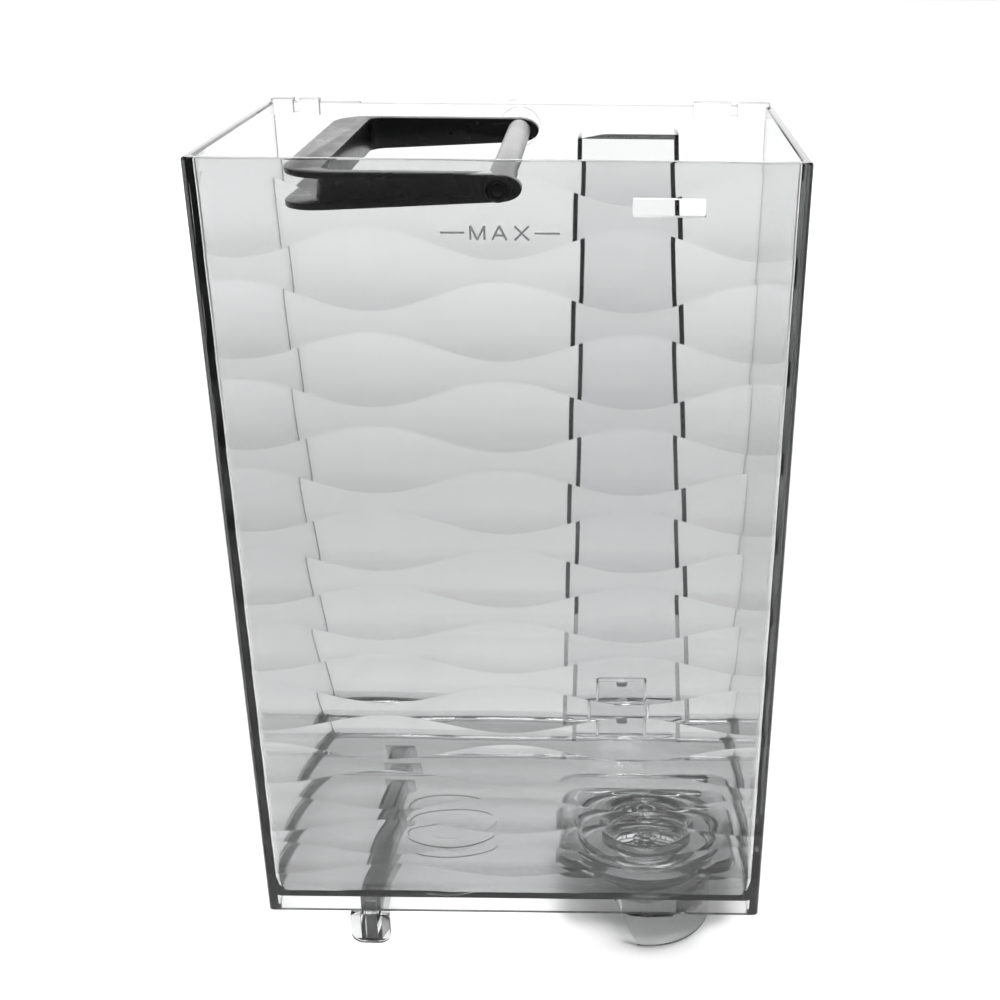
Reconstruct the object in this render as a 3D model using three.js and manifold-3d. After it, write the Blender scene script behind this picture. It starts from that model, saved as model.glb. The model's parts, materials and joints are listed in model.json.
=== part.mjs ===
// Removable water tank of a compact dehumidifier: a clear open-topped bucket with a wave-fluted front,
// a folding carry handle, a float in a chute on the rear wall and a sprung drain valve in the floor.
// Millimetres. +X right, +Y to the rear, +Z up. The origin lies under the middle of the tank, where it stands.
import * as THREE from 'three';
import { mergeVertices } from 'three/addons/utils/BufferGeometryUtils.js';
import Module from 'manifold-3d';

const wasm = await Module();
wasm.setup();

// ---- driving dimensions ------------------------------------------------------------------------------
const WIDTH = 150;            // across the rim
const DEPTH = 94;             // front to rear at the rim
const DRAFT = 1;              // each wall leans in by this much from the rim to the skirt
const RIM_Z = 236.5;
const SKIRT_Z = 11.5;         // lower edge of the skirt below the floor
const WALL = 2.4;
const FLOOR_TOP = 18.3;
const FLOOR_THICKNESS = 2.2;
const CORNER_R = 1.6;         // vertical corners, outside
const BOTTOM_FILLET = 7;      // inside, where the floor meets the rear wall
const SIDE_FILLET_SHARE = 0.3; // how much of the fillet's width is left along the side walls
const GAP = 0.3;              // between pieces that rest on each other

const WAVES = { first: -1, last: 20, top: 6.5, pitch: 13.7, squeeze: 0.16, amplitude: 4, fade: 0.1 };
const WAVE_PERIOD = 63.5;
const WAVE_STRETCH = 0.04;    // growth of the period with the distance below the rim
const FLUTE_R = 106;          // radius of the topmost flutes, seen from the side
const FLUTE_TIGHTENING = 2.6; // power of the pitch by which narrower flutes are scooped more tightly
const FLUTE_COLUMNS = 36;
const FLUTE_HALF_WIDTH = 73.2;

const PIVOT = { x: 0, z: RIM_Z - 7.2 };
const HANDLE = { grip: -53.4, gripWidth: 9.7, halfSpan: 43.5, arm: 3.9, top: 3.3, drop: 6.3, web: 1.5, corner: 11 };
const HANDLE_NOSE = 5.7;      // the oval end of each arm reaches this far past the pivot
const PIN_RECESS = { x: 0.3, halfWidth: 5, halfHeight: 2.6, floor: 42.2 };
const AXLE_R = 3.3;
const PIN_R = 1.6;

const CHUTE = { top: RIM_Z - 7, left: 17.4, right: 46.7, leftFoot: 14, rightFoot: 55.6, wall: 1.3, depth: 11 };
const SHELF_Z = 23;           // top of the chute's shelf, where the float rests
const FLOAT = { x: 32.2, y: 39.2, width: 20, depth: 7, height: 20, wall: 0.9 };

const VALVE = { x: 40.4, y: -20.5, throat: 13, wall: 1.4, well: 21.8, seatZ: 6 };
const SHROUD = { x: 41, y: -27.3, r: 19.5, wall: 1.5, rear: 9 };
const KEEL = { x: -43.35, width: 11.9, front: -46.8, rear: 26, pad: 3 };

// ---- materials ---------------------------------------------------------------------------------------
const paint = (color, roughness, metalness = 0) => new THREE.MeshStandardMaterial({ color, roughness, metalness });
const clear = paint(0xdfe4e6, 0.08);
const smoke = paint(0xb9bfc2, 0.15);
const black = paint(0x131314, 0.45);
const grey = paint(0x8b8c8e, 0.5);
const silicone = paint(0xc9cbc8, 0.6);
const rubber = paint(0x4a4b4c, 0.7);
const steel = paint(0xc4c6c8, 0.3, 1);
const ferrite = paint(0x3a3a3c, 0.6);

// ---- solids ------------------------------------------------------------------------------------------
function signedVolume(geometry) {
  const p = geometry.attributes.position;
  const index = geometry.index;
  const corner = [new THREE.Vector3(), new THREE.Vector3(), new THREE.Vector3()];
  let sum = 0;
  for (let i = 0; i < index.count; i += 3) {
    corner.forEach((c, j) => c.fromBufferAttribute(p, index.getX(i + j)));
    sum += corner[0].dot(corner[1].clone().cross(corner[2]));
  }
  return sum / 6;
}

function solid(geometry) {
  geometry.deleteAttribute('normal');
  geometry.deleteAttribute('uv');
  const merged = mergeVertices(geometry, 1e-4);
  const triVerts = Uint32Array.from(merged.index.array);
  if (signedVolume(merged) < 0) {
    for (let i = 0; i < triVerts.length; i += 3) {
      [triVerts[i], triVerts[i + 1]] = [triVerts[i + 1], triVerts[i]];
    }
  }
  const vertProperties = Float32Array.from(merged.attributes.position.array);
  return new wasm.Manifold(new wasm.Mesh({ numProp: 3, vertProperties, triVerts }));
}

function box(x0, x1, y0, y1, z0, z1) {
  const g = new THREE.BoxGeometry(x1 - x0, y1 - y0, z1 - z0);
  g.translate((x0 + x1) / 2, (y0 + y1) / 2, (z0 + z1) / 2);
  return solid(g);
}

// A plan outline of [x, y] points or a Shape, standing from z0 to z1.
function prismZ(outline, z0, z1, curveSegments = 8) {
  const shape = outline instanceof THREE.Shape ? outline : new THREE.Shape(outline.map((p) => new THREE.Vector2(...p)));
  const g = new THREE.ExtrudeGeometry(shape, { depth: z1 - z0, bevelEnabled: false, curveSegments });
  g.translate(0, 0, z0);
  return solid(g);
}

// A front-view outline of [x, z] points or a Shape, reaching from y0 back to y1.
function prismY(outline, y0, y1, curveSegments = 8) {
  const shape = outline instanceof THREE.Shape ? outline : new THREE.Shape(outline.map((p) => new THREE.Vector2(...p)));
  const g = new THREE.ExtrudeGeometry(shape, { depth: y1 - y0, bevelEnabled: false, curveSegments });
  g.rotateX(Math.PI / 2);
  g.translate(0, y1, 0);
  return solid(g);
}

// A closed [radius, height] profile turned about a vertical axis through (x, y).
function turned(profile, x, y, segments = 40) {
  const points = profile.map((p) => new THREE.Vector2(...p));
  if (profile[0][0] > 0) {
    points.push(points[0].clone());
  }
  const g = new THREE.LatheGeometry(points, segments);
  g.rotateX(Math.PI / 2);
  g.translate(x, y, 0);
  return solid(g);
}

const ring = (x, y, r0, r1, z0, z1, segments) =>
  turned([[r0, z0], [r1, z0], [r1, z1], [r0, z1]], x, y, segments);

const disc = (x, y, r, z0, z1, segments) => turned([[0, z0], [r, z0], [r, z1], [0, z1]], x, y, segments);

// A round bar along Y.
function barY(x, z, r, y0, y1, segments = 24) {
  const g = new THREE.CylinderGeometry(r, r, y1 - y0, segments);
  g.translate(x, (y0 + y1) / 2, z);
  return solid(g);
}

const union = (first, ...rest) => rest.reduce((sum, s) => sum.add(s), first);
const cut = (first, ...tools) => tools.reduce((sum, s) => sum.subtract(s), first);

// A rounded rectangle as a loop of points, anticlockwise.
function roundedLoop(x0, x1, y0, y1, r, steps = 4) {
  const corners = [[x1 - r, y1 - r, 0], [x0 + r, y1 - r, 1], [x0 + r, y0 + r, 2], [x1 - r, y0 + r, 3]];
  return corners.flatMap(([cx, cy, quarter]) => Array.from({ length: steps + 1 }, (_, i) => {
    const a = (quarter + i / steps) * Math.PI / 2;
    return [cx + r * Math.cos(a), cy + r * Math.sin(a)];
  }));
}

// A body skinned over a stack of loops with equal point counts: [{ z, loop }].
function loft(levels) {
  const count = levels[0].loop.length;
  const positions = levels.flatMap(({ z, loop }) => loop.flatMap(([x, y]) => [x, y, z]));
  const index = [];
  for (let level = 0; level + 1 < levels.length; level += 1) {
    for (let i = 0; i < count; i += 1) {
      const a = level * count + i;
      const b = level * count + (i + 1) % count;
      index.push(a, b, b + count, a, b + count, a + count);
    }
  }
  const lid = (levels.length - 1) * count;
  for (let i = 1; i + 1 < count; i += 1) {
    index.push(0, i + 1, i, lid, lid + i, lid + i + 1);
  }
  const g = new THREE.BufferGeometry();
  g.setAttribute('position', new THREE.Float32BufferAttribute(positions, 3));
  g.setIndex(index);
  return solid(g);
}

// ---- tank --------------------------------------------------------------------------------------------
const lean = (z) => DRAFT * (RIM_Z - z) / (RIM_Z - SKIRT_Z);
const halfX = (z) => WIDTH / 2 - lean(z);
const halfY = (z) => DEPTH / 2 - lean(z);

function walledLoop(z, inset, r, fillet = 0) {
  const x = halfX(z) - inset - SIDE_FILLET_SHARE * fillet;
  const y = halfY(z) - inset;
  return { z, loop: roundedLoop(-x, x, -y, y - fillet, r) };
}

// The water space; `shrink` gives the same space with a little room around whatever is fitted in it.
function cavity(shrink = 0) {
  const levels = [];
  const steps = 5;
  for (let i = 0; i <= steps; i += 1) {
    const h = BOTTOM_FILLET * (1 - Math.cos((i / steps) * Math.PI / 2));
    const fillet = BOTTOM_FILLET - Math.sqrt(BOTTOM_FILLET ** 2 - (BOTTOM_FILLET - h) ** 2);
    levels.push(walledLoop(FLOOR_TOP + shrink + h, WALL + shrink, 2, fillet));
  }
  levels.push(walledLoop(RIM_Z + 6, WALL + shrink, 2));
  return loft(levels);
}

const waveLevel = (k) => WAVES.top + WAVES.pitch * k - WAVES.squeeze * k * k;

// Height of ridge line k at x. Neighbouring lines swing in opposite phase.
function waveLine(k, x) {
  const level = waveLevel(k);
  const phase = k % 2 === 0 ? 1 : -1;
  const swing = (WAVES.amplitude - WAVES.fade * k) * Math.cos(2 * Math.PI * x / (WAVE_PERIOD + WAVE_STRETCH * level));
  return RIM_Z - level + phase * swing;
}

// The flutes get narrower down the face and are scooped a little deeper, so their radius shrinks.
const fluteRadius = (k) => FLUTE_R * ((waveLevel(k + 1) - waveLevel(k)) / WAVES.pitch) ** FLUTE_TIGHTENING;

// Everything in front of the fluted face: one scooped flute between each pair of ridge lines.
function fluteCutter() {
  const rows = [];
  for (let k = WAVES.first; k <= WAVES.last; k += 1) {
    rows.push({ k, t: 0 });
    if (k < WAVES.last) {
      rows.push({ k, t: 0.5 });
    }
  }
  const stride = FLUTE_COLUMNS + 1;
  const skinPoints = [];
  const farPoints = [];
  for (const { k, t } of rows) {
    for (let i = 0; i < stride; i += 1) {
      const x = FLUTE_HALF_WIDTH * (2 * i / FLUTE_COLUMNS - 1);
      const upper = waveLine(k, x);
      const width = t > 0 ? upper - waveLine(k + 1, x) : 0;
      const z = upper - t * width;
      const scoop = t * (1 - t) * width * width / (2 * fluteRadius(k));
      skinPoints.push(x, 0.05 + scoop - halfY(z), z);
      farPoints.push(x, -DEPTH / 2 - 5, z);
    }
  }
  const far = rows.length * stride;
  const index = [];
  const quad = (a, b, c, d) => index.push(a, b, c, a, c, d);
  for (let r = 0; r + 1 < rows.length; r += 1) {
    for (let i = 0; i < FLUTE_COLUMNS; i += 1) {
      const a = r * stride + i;
      quad(a, a + 1, a + 1 + stride, a + stride);
      quad(far + a, far + a + stride, far + a + 1 + stride, far + a + 1);
    }
    const left = r * stride;
    const right = left + FLUTE_COLUMNS;
    quad(left, left + stride, far + left + stride, far + left);
    quad(right, far + right, far + right + stride, right + stride);
  }
  const last = (rows.length - 1) * stride;
  for (let i = 0; i < FLUTE_COLUMNS; i += 1) {
    quad(i, far + i, far + i + 1, i + 1);
    quad(last + i, last + i + 1, far + last + i + 1, far + last + i);
  }
  const g = new THREE.BufferGeometry();
  g.setAttribute('position', new THREE.Float32BufferAttribute([...skinPoints, ...farPoints], 3));
  g.setIndex(index);
  return solid(g);
}

// A stroke of constant width between two points of the front face.
function stroke([x0, z0], [x1, z1], width = 0.5) {
  const length = Math.hypot(x1 - x0, z1 - z0);
  const nx = -(z1 - z0) / length * width / 2;
  const nz = (x1 - x0) / length * width / 2;
  const outline = [[x0 + nx, z0 + nz], [x0 - nx, z0 - nz], [x1 - nx, z1 - nz], [x1 + nx, z1 + nz]];
  return prismY(outline, -46.8, -45.6);
}

// The MAX mark: three raised letters between two level lines.
function levelMark() {
  const low = RIM_Z - 19;
  const high = RIM_Z - 15.6;
  const middle = (low + high) / 2;
  return union(
    stroke([-6.7, low], [-6.7, high]),
    stroke([-6.7, high], [-5, low]),
    stroke([-5, low], [-3.3, high]),
    stroke([-3.3, high], [-3.3, low]),
    stroke([-1.4, low], [0.3, high]),
    stroke([0.3, high], [2, low]),
    stroke([-0.8, low + 1.1], [1.4, low + 1.1]),
    stroke([4, low], [7.4, high]),
    stroke([4, high], [7.4, low]),
    stroke([-14, middle], [-8.2, middle]),
    stroke([8.8, middle], [14.9, middle]),
  );
}

// A raised catch on the rear rim with a slot through its middle.
function rimLug(x0, x1, slotX) {
  const lug = box(x0, x1, halfY(RIM_Z) - 4.4, halfY(RIM_Z) - 0.05, RIM_Z - 4, RIM_Z + 1);
  return cut(lug, box(slotX - 0.9, slotX + 0.9, 30, 60, RIM_Z - 3, RIM_Z + 2));
}

function tankBody() {
  const outside = loft([walledLoop(SKIRT_Z, 0, CORNER_R), walledLoop(RIM_Z, 0, CORNER_R)]);
  const under = loft([
    walledLoop(SKIRT_Z - 1, WALL, 2),
    walledLoop(FLOOR_TOP - FLOOR_THICKNESS, WALL, 2),
  ]);
  const slot = box(32.3, 50, -60, -40, RIM_Z - 13.2, RIM_Z - 8.9);
  const lowRim = box(-47.4, 51.2, 40, 60, RIM_Z - 0.4, RIM_Z + 5);
  const pivotHole = barY(PIVOT.x, PIVOT.z, 2.8, -60, 60, 32);
  const floorHole = disc(VALVE.x, VALVE.y, VALVE.throat + GAP, 10, 25, 48);
  const bossRing = cut(
    barY(PIVOT.x, PIVOT.z, 6.3, halfY(RIM_Z) - WALL - 0.7, halfY(RIM_Z) - 0.5, 32),
    barY(PIVOT.x, PIVOT.z, 5.2, 40, halfY(RIM_Z) - WALL + 0.05, 32),
    box(-10, 10, 30, 60, RIM_Z - 0.4, RIM_Z + 5),
  );
  const stop = box(-3.6, 1.4, halfY(RIM_Z) - WALL + 0.1, halfY(RIM_Z) - 0.05, RIM_Z - 2, RIM_Z + 0.8);
  const gateDisc = union(
    ring(-22, -13, 13, 14.5, FLOOR_TOP - 0.5, FLOOR_TOP + 0.5, 48),
    disc(-22, -13, 6, FLOOR_TOP - 0.5, FLOOR_TOP + 0.3, 32),
  );
  const shell = union(cut(outside, cavity(), under, lowRim), bossRing, gateDisc);
  const slotted = cut(shell, fluteCutter(), slot, pivotHole, floorHole);
  return union(slotted, levelMark(), stop, rimLug(-73.4, -59.2, -66), rimLug(51.2, 74, 63.4));
}

// ---- handle ------------------------------------------------------------------------------------------
// A U in plan, its legs ending at `end`; corners rounded by `r`.
function uOutline(x0, halfY0, end, r, inner) {
  const s = new THREE.Shape();
  s.moveTo(end, -halfY0);
  s.lineTo(x0 + r, -halfY0);
  s.absarc(x0 + r, -halfY0 + r, r, -Math.PI / 2, -Math.PI, true);
  s.lineTo(x0, halfY0 - r);
  s.absarc(x0 + r, halfY0 - r, r, Math.PI, Math.PI / 2, true);
  s.lineTo(end, halfY0);
  s.lineTo(end, inner.half);
  s.lineTo(inner.x + inner.r, inner.half);
  s.absarc(inner.x + inner.r, inner.half - inner.r, inner.r, Math.PI / 2, Math.PI, false);
  s.lineTo(inner.x, -inner.half + inner.r);
  s.absarc(inner.x + inner.r, -inner.half + inner.r, inner.r, Math.PI, Math.PI * 1.5, false);
  s.lineTo(end, -inner.half);
  return s;
}

function handleLoop() {
  const { grip, gripWidth, halfSpan, arm, top, drop, web, corner } = HANDLE;
  const opening = { x: grip + gripWidth, half: halfSpan - arm, r: 4 };
  const plan = prismZ(uOutline(grip, halfSpan, 8, corner, opening), PIVOT.z - 12, PIVOT.z + 8, 14);
  const side = new THREE.Shape();
  side.moveTo(PIVOT.x, PIVOT.z + top);
  side.lineTo(grip - 1, PIVOT.z + top);
  side.lineTo(grip - 1, PIVOT.z - drop);
  side.lineTo(PIVOT.x, PIVOT.z - top);
  side.absellipse(PIVOT.x, PIVOT.z, HANDLE_NOSE, top, -Math.PI / 2, Math.PI / 2, false, 0);
  const body = plan.intersect(prismY(side, -60, 60, 20));

  const behindWeb = { x: opening.x - web, half: opening.half + web, r: opening.r + web };
  const pocketPlan = prismZ(uOutline(grip - 10, halfSpan + 10, -6.5, 2, behindWeb), PIVOT.z - 14, PIVOT.z + 10, 12);
  const pocketSide = [
    [-6, PIVOT.z + top - web], [grip - 20, PIVOT.z + top - web],
    [grip - 20, PIVOT.z - drop + web - 0.9], [-6, PIVOT.z - top + web - 0.27],
  ];
  const pocket = pocketPlan.intersect(prismY(pocketSide, -60, 60));

  const oval = new THREE.Shape();
  oval.absellipse(PIN_RECESS.x, PIVOT.z, PIN_RECESS.halfWidth, PIN_RECESS.halfHeight, 0, 2 * Math.PI, false, 0);
  return cut(
    body,
    pocket,
    barY(PIVOT.x, PIVOT.z, PIN_R + 0.2, -60, 60),
    prismY(oval, -60, -PIN_RECESS.floor, 18),
    prismY(oval, PIN_RECESS.floor, 60, 18),
  );
}

function handleAxle() {
  const end = HANDLE.halfSpan - HANDLE.arm - GAP;
  const bore = PIN_R + 0.2;
  return cut(
    barY(PIVOT.x, PIVOT.z, AXLE_R, -end, end, 32),
    barY(PIVOT.x, PIVOT.z, bore, -end - 1, -end + 6),
    barY(PIVOT.x, PIVOT.z, bore, end - 6, end + 1),
  );
}

// Modelled for the front; the rear one is its mirror image.
function pivotPin() {
  return union(
    barY(PIVOT.x, PIVOT.z, PIN_R, -46.1, -34.5),
    barY(PIVOT.x, PIVOT.z, 2.35, -43.3, -42.4, 32),
  );
}

function axleBush() {
  const sleeve = union(
    barY(PIVOT.x, PIVOT.z, 2.6, -46.1, -43.9, 32),
    barY(PIVOT.x, PIVOT.z, 3.3, -44.35, -43.7, 32),
  );
  return cut(sleeve, barY(PIVOT.x, PIVOT.z, PIN_R + 0.06, -60, -40));
}

const mirroredY = (s) => s.mirror([0, 1, 0]);

// ---- float -------------------------------------------------------------------------------------------
const CHUTE_REAR = halfY(RIM_Z) - WALL - GAP;

function chuteOutline(inset, top, foot) {
  const { left, right, leftFoot, rightFoot } = CHUTE;
  return [[left + inset, top], [leftFoot + inset, foot], [rightFoot - inset, foot], [right - inset, top]];
}

function floatChute() {
  const front = CHUTE_REAR - CHUTE.depth;
  const outer = prismY(chuteOutline(0, CHUTE.top, FLOOR_TOP), front, CHUTE_REAR);
  const hollow = prismY(chuteOutline(CHUTE.wall, CHUTE.top + 5, FLOOR_TOP - 5), front + CHUTE.wall, 60);
  const shelf = cut(
    box(15.5, 53, front + 0.5, CHUTE_REAR, SHELF_Z - CHUTE.wall, SHELF_Z),
    disc(FLOAT.x, FLOAT.y, 2.6, 20, 30, 24),
  );
  const inlets = [22, 34, 46].map((x) => box(x - 3, x + 3, 20, front + 3, FLOOR_TOP - 1, FLOOR_TOP + 5));
  const notch = prismY([[16, CHUTE.top - 1.8], [25, CHUTE.top], [25, CHUTE.top + 1], [16, CHUTE.top + 1]], 20, 60);
  return union(cut(outer, hollow), shelf).subtract(union(...inlets)).subtract(notch).intersect(cavity(GAP));
}

const FLOAT_Z = SHELF_Z + GAP;

function floatBox(inset, z0, z1) {
  const { x, y, width, depth } = FLOAT;
  const hx = width / 2 - inset;
  const hy = depth / 2 - inset;
  return prismZ(roundedLoop(x - hx, x + hx, y - hy, y + hy, 2 - inset * 0.8), z0, z1);
}

function floatShell() {
  return cut(floatBox(0, FLOAT_Z, FLOAT_Z + FLOAT.height), floatBox(FLOAT.wall, FLOAT_Z - 1, FLOAT_Z + FLOAT.height - FLOAT.wall));
}

const floatLid = () => floatBox(FLOAT.wall + 0.2, FLOAT_Z, FLOAT_Z + 1.2);
const floatMagnet = () => disc(FLOAT.x, FLOAT.y, 2.3, FLOAT_Z + 14, FLOAT_Z + 18.5, 24);

// ---- drain valve -------------------------------------------------------------------------------------
function valveHousing() {
  const { throat, wall, well, seatZ } = VALVE;
  const bore = throat - wall;
  const base = FLOOR_TOP + 1.4;
  return turned([
    [6.5, seatZ], [throat, seatZ], [throat, base], [well, base], [well, base + 5.4], [well - wall, base + 5.4],
    [well - wall, base + 1.6], [throat + wall, base + 1.6], [throat + wall, base + 6.6], [throat, base + 6.6],
    [bore, base + 5.2], [bore, seatZ + 1.6], [6.5, seatZ + 1.6],
  ], VALVE.x, VALVE.y, 48);
}

function valveCollar() {
  const base = FLOOR_TOP + GAP;
  const block = loft([
    { z: base, loop: roundedLoop(12.5, 68, -37, 6, 7) },
    { z: base + 5.2, loop: roundedLoop(14.5, 66, -35.5, 4.5, 6) },
  ]);
  const well = disc(VALVE.x, VALVE.y, VALVE.well + GAP, 10, 30, 48);
  return block.subtract(well).intersect(cavity(GAP));
}

const housingGasket = () => ring(VALVE.x, VALVE.y, 13.7, 19.5, FLOOR_TOP + 0.2, FLOOR_TOP + 1.2, 40);

function valveNut() {
  const top = FLOOR_TOP - FLOOR_THICKNESS - GAP;
  const body = ring(VALVE.x, VALVE.y, VALVE.throat + 0.25, 16.5, top - 4.8, top, 48);
  const notches = Array.from({ length: 12 }, (_, i) => {
    const a = i * Math.PI / 6;
    return disc(VALVE.x + 17.2 * Math.cos(a), VALVE.y + 17.2 * Math.sin(a), 1.6, 5, 20, 12);
  });
  return cut(body, ...notches);
}

const SEAT_TOP = VALVE.seatZ + 1.6;
const POPPET_Z = SEAT_TOP + 1.4;
const BRIDGE_Z = 18;
const STEM_TOP = 26.8;

function valvePoppet() {
  const stem = 2;
  return turned([
    [0, 2.5], [stem, 2.5], [stem, POPPET_Z], [9.6, POPPET_Z], [9.6, POPPET_Z + 1.6], [stem, POPPET_Z + 1.6],
    [stem, STEM_TOP], [0, STEM_TOP],
  ], VALVE.x, VALVE.y, 32);
}

const valveSeal = () => ring(VALVE.x, VALVE.y, 6.9, 9.4, SEAT_TOP + 0.2, POPPET_Z - 0.2, 40);

function springBridge() {
  const hub = union(
    disc(VALVE.x, VALVE.y, 4, BRIDGE_Z, BRIDGE_Z + 4, 32),
    ring(VALVE.x, VALVE.y, 9.8, VALVE.throat - VALVE.wall - 0.2, BRIDGE_Z, BRIDGE_Z + 2, 40),
  );
  const spokes = [0, 1, 2].map((i) => {
    const bar = box(3, 10.5, -0.9, 0.9, BRIDGE_Z, BRIDGE_Z + 2);
    return bar.rotate([0, 0, 90 + 120 * i]).translate([VALVE.x, VALVE.y, 0]);
  });
  return cut(union(hub, ...spokes), disc(VALVE.x, VALVE.y, 2.08, 10, 30, 32));
}

function stemCap() {
  const cap = turned([[0, STEM_TOP - 2], [3.4, STEM_TOP - 2], [3.4, STEM_TOP + 0.2], [5, STEM_TOP + 0.2],
    [5, STEM_TOP + 1.2], [4.4, STEM_TOP + 1.7], [0, STEM_TOP + 1.7]], VALVE.x, VALVE.y, 32);
  return cut(cap, disc(VALVE.x, VALVE.y, 2.2, STEM_TOP - 3, STEM_TOP + 0.2, 24));
}

class Helix extends THREE.Curve {
  constructor(r, z0, z1, turns) {
    super();
    Object.assign(this, { r, z0, z1, turns });
  }

  getPoint(t, target = new THREE.Vector3()) {
    const a = 2 * Math.PI * this.turns * t;
    return target.set(this.r * Math.cos(a), this.r * Math.sin(a), this.z0 + (this.z1 - this.z0) * t);
  }
}

function valveSpring() {
  const wire = 0.35;
  const path = new Helix(5.4, POPPET_Z + 2 + wire, BRIDGE_Z - 0.3 - wire, 3);
  const section = new THREE.Shape();
  section.absarc(0, 0, wire, 0, 2 * Math.PI, false);
  const g = new THREE.ExtrudeGeometry(section, { steps: 54, extrudePath: path, curveSegments: 4, bevelEnabled: false });
  g.translate(VALVE.x, VALVE.y, 0);
  return solid(g);
}

// ---- feet --------------------------------------------------------------------------------------------
// Room for the skirt: nothing fitted under the floor may be in front of its inner face above its lower edge.
const skirtFront = () => box(-90, 90, -60, WALL + GAP - halfY(SKIRT_Z), SKIRT_Z - GAP, 40);
const FLOOR_UNDER = FLOOR_TOP - FLOOR_THICKNESS - GAP;

// A wall that curves round the front of the outlet, runs back beside it and hooks in behind it.
function spoutShroud() {
  const { x, y, r, wall, rear } = SHROUD;
  const s = new THREE.Shape();
  const start = -2.15;
  s.absarc(x, y, r, start, 0, false);
  s.lineTo(x + r, rear - 6);
  s.absarc(x + r - 6, rear - 6, 6, 0, Math.PI / 2, false);
  s.lineTo(x + 3, rear);
  s.lineTo(x + 3, rear - wall);
  s.lineTo(x + r - 6, rear - wall);
  s.absarc(x + r - 6, rear - 6, 6 - wall, Math.PI / 2, 0, true);
  s.lineTo(x + r - wall, y);
  s.absarc(x, y, r - wall, 0, start, true);
  const slant = prismY([[20, 20], [28.5, 20], [38.2, -1], [20, -1]], -60, -30);
  return cut(prismZ(s, 0, FLOOR_UNDER), slant, skirtFront());
}

function keelPlate(y0, y1, top) {
  const { x, width } = KEEL;
  const s = new THREE.Shape();
  const r = 3.6;
  s.moveTo(x - width / 2, top);
  s.lineTo(x - width / 2, r);
  s.absarc(x - width / 2 + r, r, r, Math.PI, Math.PI * 1.5, false);
  s.lineTo(x + width / 2 - r, 0);
  s.absarc(x + width / 2 - r, r, r, -Math.PI / 2, 0, false);
  s.lineTo(x + width / 2, top);
  return prismY(s, y0, y1);
}

function keelFoot() {
  const { x, front, rear, pad } = KEEL;
  const inner = pad / 2 + GAP;
  const trough = cut(
    box(x - inner - 1.2, x + inner + 1.2, front + 1, rear - 1, 0.6, FLOOR_UNDER),
    box(x - inner, x + inner, front + 2.2, rear - 2, -1, FLOOR_UNDER - 1.6),
  );
  return cut(
    union(trough, keelPlate(front, front + 2, SKIRT_Z - GAP), keelPlate(rear - 2, rear, FLOOR_UNDER)),
    skirtFront(),
  );
}

function keelPad() {
  const { x, front, rear, pad } = KEEL;
  return cut(box(x - pad / 2, x + pad / 2, front + 2.5, rear - 2.3, 0, FLOOR_UNDER - 1.9), skirtFront());
}

// ---- assembly ----------------------------------------------------------------------------------------
function geometryOf(body) {
  const { vertProperties, triVerts } = body.getMesh();
  const g = new THREE.BufferGeometry();
  g.setAttribute('position', new THREE.Float32BufferAttribute(Float32Array.from(vertProperties), 3));
  g.setIndex(Array.from(triVerts));
  const flat = g.toNonIndexed();
  flat.computeVertexNormals();
  return flat;
}

const group = new THREE.Group();
group.name = 'dehumidifier_water_tank';

function addPiece(name, body, material) {
  const mesh = new THREE.Mesh(geometryOf(body), material);
  mesh.name = name;
  group.add(mesh);
}

addPiece('tank_body', tankBody(), clear);
addPiece('handle_loop', handleLoop(), black);
addPiece('handle_axle', handleAxle(), grey);
addPiece('front_pivot_pin', pivotPin(), black);
addPiece('rear_pivot_pin', mirroredY(pivotPin()), black);
addPiece('front_axle_bush', axleBush(), black);
addPiece('rear_axle_bush', mirroredY(axleBush()), smoke);
addPiece('float_chute', floatChute(), clear);
addPiece('float_shell', floatShell(), clear);
addPiece('float_lid', floatLid(), clear);
addPiece('float_magnet', floatMagnet(), ferrite);
addPiece('valve_collar', valveCollar(), smoke);
addPiece('valve_housing', valveHousing(), smoke);
addPiece('housing_gasket', housingGasket(), silicone);
addPiece('valve_nut', valveNut(), smoke);
addPiece('valve_poppet', valvePoppet(), smoke);
addPiece('valve_seal', valveSeal(), silicone);
addPiece('valve_spring', valveSpring(), steel);
addPiece('spring_bridge', springBridge(), smoke);
addPiece('stem_cap', stemCap(), smoke);
addPiece('spout_shroud', spoutShroud(), smoke);
addPiece('keel_foot', keelFoot(), clear);
addPiece('keel_pad', keelPad(), rubber);

export default group;
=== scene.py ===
import json
import math

import bmesh
import bpy
from mathutils import Matrix, Vector


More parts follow.
